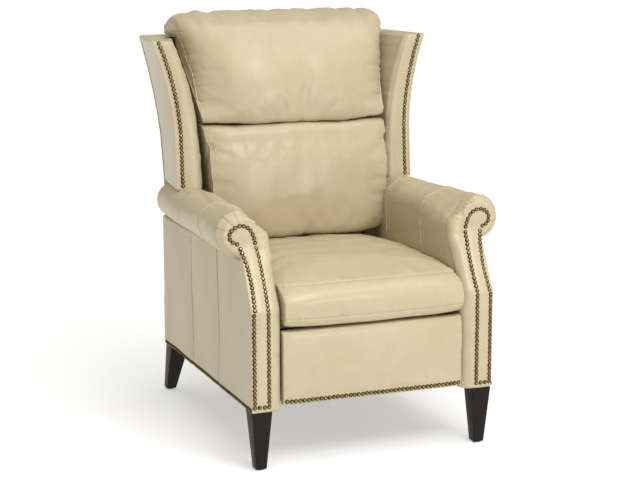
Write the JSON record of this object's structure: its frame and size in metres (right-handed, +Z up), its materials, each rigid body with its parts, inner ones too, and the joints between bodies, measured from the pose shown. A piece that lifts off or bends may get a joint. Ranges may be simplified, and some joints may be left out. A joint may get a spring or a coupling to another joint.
{
  "type": "wingback recliner",
  "caption": "High-leg wingback push-back recliner: scroll arms with nail-head trim, crowned seat cushion, two-part back cushion, folding footrest and reclining back",
  "frame": {"origin": "on the floor, under the middle of the chair's width and depth", "axes": "+X is the sitter's left, +Y is the rear, +Z is up; the sitter faces -Y"},
  "size_m": [0.836, 0.8902, 1.155],
  "materials": {
    "cream_leather": "satin",
    "dark_wood": "satin",
    "frame_wood": "matte",
    "black_steel": "satin",
    "zinc_steel": "satin",
    "aged_brass": "satin",
    "nylon": "matte",
    "webbing": "matte"
  },
  "bodies": {
    "base": {"leg_front_left": "dark_wood", "leg_front_right": "dark_wood", "leg_rear_left": "dark_wood", "leg_rear_right": "dark_wood", "leg_glides": "nylon", "leg_bolts": "zinc_steel", "arm_left": "cream_leather", "arm_right": "cream_leather", "side_panel_left": "cream_leather", "side_panel_right": "cream_leather", "front_posts": "frame_wood", "rear_posts": "frame_wood", "arm_rails": "frame_wood", "side_rails": "frame_wood", "rear_rail": "frame_wood", "front_stretcher": "frame_wood", "rear_panel": "cream_leather", "tracks": "black_steel", "back_pivot_plates": "black_steel", "back_pivot_pins": "zinc_steel", "nails_arm_left": "aged_brass", "nails_arm_right": "aged_brass", "nails_side_left": "aged_brass", "nails_side_right": "aged_brass"},
    "seat": {"seat_cushion": "cream_leather", "seat_deck": "webbing", "seat_springs": "black_steel", "seat_side_rails": "frame_wood", "seat_cross_rails": "frame_wood", "seat_plates": "black_steel", "glide_blocks": "nylon", "seat_pins": "zinc_steel"},
    "inner_links": {"link_1": "black_steel", "torque_tube": "black_steel", "link_1_pins": "zinc_steel"},
    "slider_links": {"link_2": "black_steel", "link_2_pins": "zinc_steel"},
    "outer_links": {"link_4": "black_steel", "link_4_pins": "zinc_steel"},
    "tip_links": {"link_3": "black_steel"},
    "footrest": {"footrest_board": "frame_wood", "footrest_pad": "cream_leather", "footrest_brackets": "black_steel", "nails_footrest": "aged_brass"},
    "back": {"back_posts": "frame_wood", "back_rails": "frame_wood", "back_springs": "black_steel", "lumbar_cushion": "cream_leather", "head_cushion": "cream_leather", "wing_left": "cream_leather", "wing_right": "cream_leather", "wing_frames": "frame_wood", "outside_back": "cream_leather", "back_brackets": "black_steel", "nails_wing_left": "aged_brass", "nails_wing_right": "aged_brass"}
  },
  "joints": [
    {"name": "seat_slide", "type": "slide", "parent": "base", "child": "seat", "axis": [0, -0.999, 0.0436], "range_m": [0, 0.09]},
    {"name": "back_recline", "type": "hinge", "parent": "base", "child": "back", "pos_m": [0, 0.32993, 0.335], "axis": [-1, 0, 0], "range_deg": [0, 35]},
    {"name": "inner_link_turn", "type": "hinge", "parent": "seat", "child": "inner_links", "pos_m": [0, -0.29707, 0.345], "axis": [-1, 0, 0], "range_deg": [0, 62.1]},
    {"name": "slider_link_turn", "type": "hinge", "parent": "inner_links", "child": "slider_links", "pos_m": [0, -0.30931, 0.25786], "axis": [1, 0, 0], "range_deg": [0, 124.2]},
    {"name": "outer_link_turn", "type": "hinge", "parent": "inner_links", "child": "outer_links", "pos_m": [0, -0.32156, 0.17071], "axis": [1, 0, 0], "range_deg": [0, 124.2]},
    {"name": "tip_link_turn", "type": "hinge", "parent": "outer_links", "child": "tip_links", "pos_m": [0, -0.33381, 0.25786], "axis": [-1, 0, 0], "range_deg": [0, 124.2]},
    {"name": "footrest_turn", "type": "hinge", "parent": "outer_links", "child": "footrest", "pos_m": [0, -0.34606, 0.345], "axis": [-1, 0, 0], "range_deg": [0, 152.3]}
  ],
  "couplings": [
    {"joint": "inner_link_turn", "follows": "seat_slide", "rad_per_m": 12.023},
    {"joint": "slider_link_turn", "follows": "seat_slide", "rad_per_m": 24.047},
    {"joint": "outer_link_turn", "follows": "seat_slide", "rad_per_m": 24.047},
    {"joint": "tip_link_turn", "follows": "seat_slide", "rad_per_m": 24.047},
    {"joint": "footrest_turn", "follows": "seat_slide", "rad_per_m": 29.477}
  ]
}
